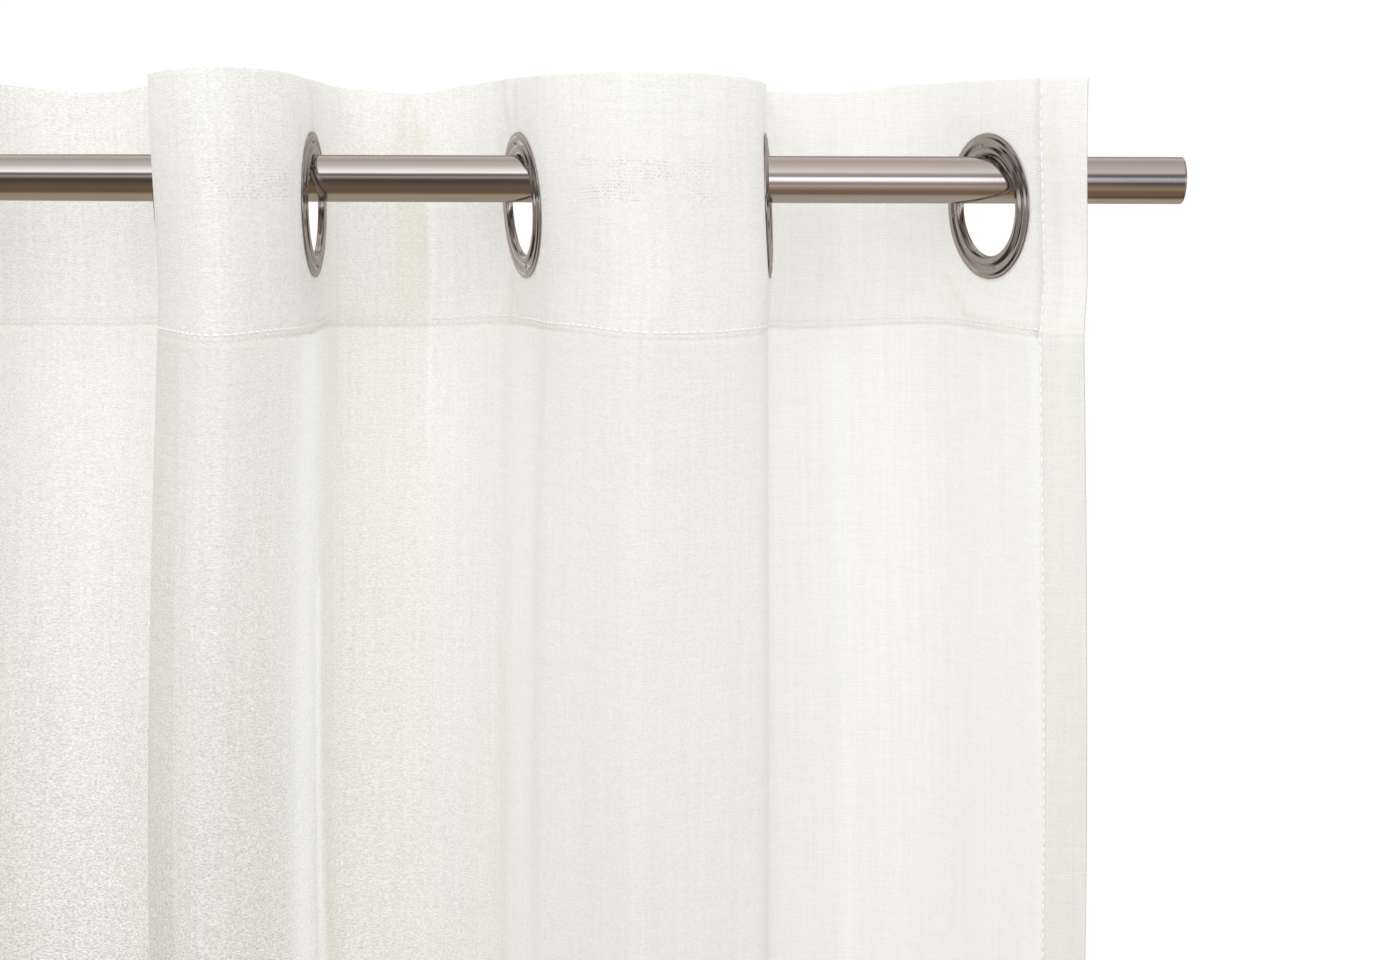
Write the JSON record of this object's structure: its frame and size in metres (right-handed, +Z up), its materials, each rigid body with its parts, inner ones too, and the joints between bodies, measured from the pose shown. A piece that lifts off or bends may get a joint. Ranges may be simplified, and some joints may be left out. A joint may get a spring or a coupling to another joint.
{
  "type": "eyelet sheer curtain on rod",
  "caption": "Sheer slubby voile curtain hanging in uneven upright folds from metal eyelets on a plain round rod, with a doubled, stitched heading band.",
  "frame": {"origin": "on the rod's axis, half way along it, where the wall brackets hold it up", "axes": "+X along the rod to the right as seen from the room, +Y from the room towards the window, +Z up"},
  "size_m": [0.78, 0.1524, 2.4537],
  "materials": {
    "voile": "sheer ivory slub voile, open plain weave",
    "eyelet_metal": "polished warm nickel",
    "rod_metal": "polished warm nickel"
  },
  "bodies": {
    "root": {"rod": "rod_metal", "panel": "voile", "heading_band": "voile", "eyelet_1_front": "eyelet_metal", "eyelet_1_back": "eyelet_metal", "eyelet_2_front": "eyelet_metal", "eyelet_2_back": "eyelet_metal", "eyelet_3_front": "eyelet_metal", "eyelet_3_back": "eyelet_metal", "eyelet_4_front": "eyelet_metal", "eyelet_4_back": "eyelet_metal", "eyelet_5_front": "eyelet_metal", "eyelet_5_back": "eyelet_metal", "eyelet_6_front": "eyelet_metal", "eyelet_6_back": "eyelet_metal", "eyelet_7_front": "eyelet_metal", "eyelet_7_back": "eyelet_metal", "eyelet_8_front": "eyelet_metal", "eyelet_8_back": "eyelet_metal"}
  },
  "joints": []
}
